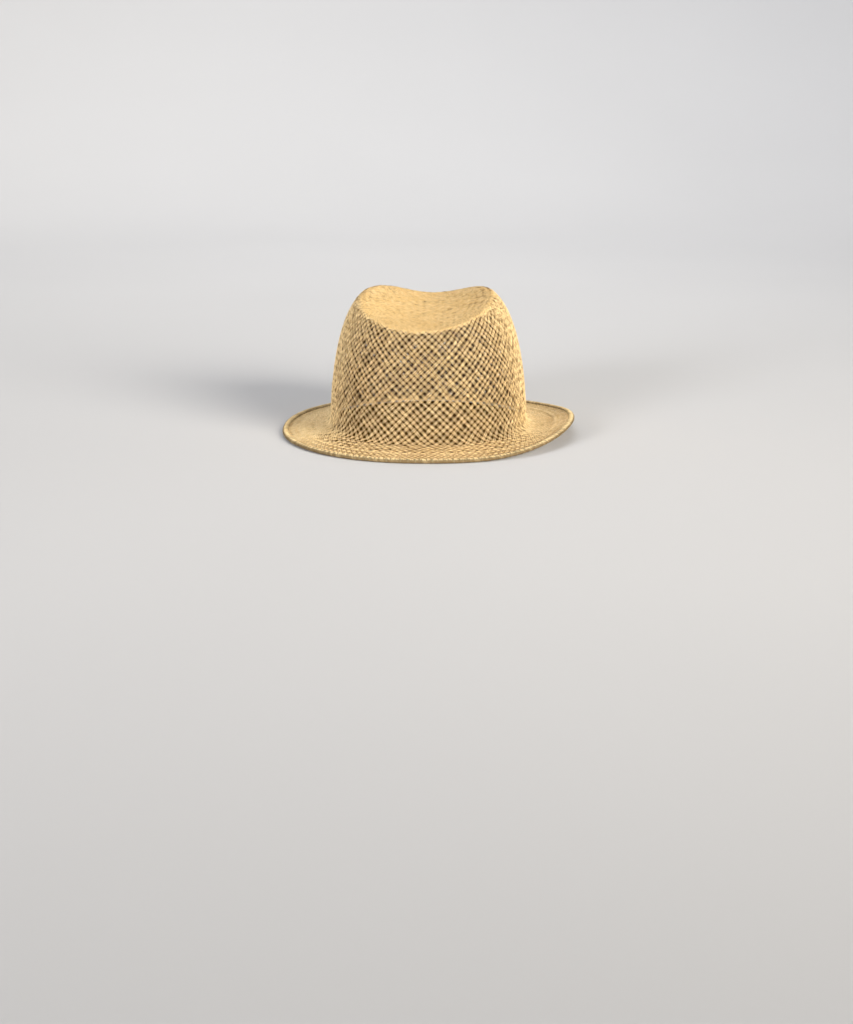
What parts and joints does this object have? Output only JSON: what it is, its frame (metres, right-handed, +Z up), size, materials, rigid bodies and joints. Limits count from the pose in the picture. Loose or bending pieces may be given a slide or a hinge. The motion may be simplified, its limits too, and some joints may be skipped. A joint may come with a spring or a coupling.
{
  "type": "straw fedora hat",
  "caption": "Natural straw fedora of open weave with a centre dent, a narrow brim turned up on one side and a rolled hem.",
  "frame": {"origin": "on the surface that the hat rests on, under the middle of the brim", "axes": "+Z up through the crown; -Y towards the side where the dent opens, taken as the front; +X towards the side of the brim that turns up"},
  "size_m": [0.25, 0.28, 0.1198],
  "materials": {
    "straw_body": "natural paper straw in an open bias twill, dry satin",
    "straw_hem": "natural paper straw, rolled and stitched, dry satin"
  },
  "bodies": {
    "root": {"woven_body": "straw_body", "brim_hem": "straw_hem"}
  },
  "joints": []
}
